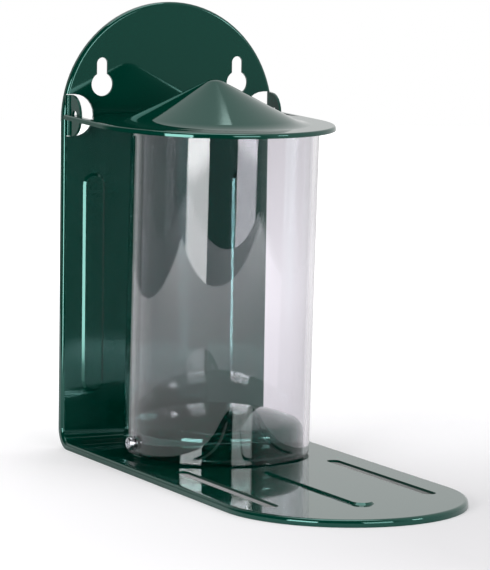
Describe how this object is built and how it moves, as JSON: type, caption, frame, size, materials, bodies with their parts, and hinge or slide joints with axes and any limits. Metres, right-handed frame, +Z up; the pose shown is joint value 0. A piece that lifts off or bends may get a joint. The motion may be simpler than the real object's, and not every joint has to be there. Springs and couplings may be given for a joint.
{
  "type": "squirrel feeder",
  "caption": "Wall-hung squirrel feeder: clear feed tube on an L-shaped pressed steel bracket, under a conical lid that hinges on two ears of the back plate.",
  "frame": {"origin": "centre of the overall box at its base: x = 0 is the plane of symmetry, y = 0 is midway between the base plate's front tip and the back plate's rear lip, z = 0 is the underside of the base plate's lip", "axes": "+Z up along the back plate, +Y from the front tip towards the wall, -Y is the front, +X to the right of somebody who faces the wall"},
  "size_m": [0.144, 0.2962, 0.2672],
  "materials": {
    "green_enamel": "gloss",
    "clear_acrylic": "gloss",
    "zinc_steel": "satin"
  },
  "bodies": {
    "stand": {"bracket": "green_enamel", "tube": "clear_acrylic", "tube_screw_left": "zinc_steel", "tube_screw_right": "zinc_steel"},
    "lid": {"lid": "green_enamel"}
  },
  "joints": [
    {"name": "lid_hinge", "type": "hinge", "parent": "stand", "child": "lid", "pos_m": [0, 0.1349, 0.20007], "axis": [-1, 0, 0], "range_deg": [0, 72]}
  ]
}
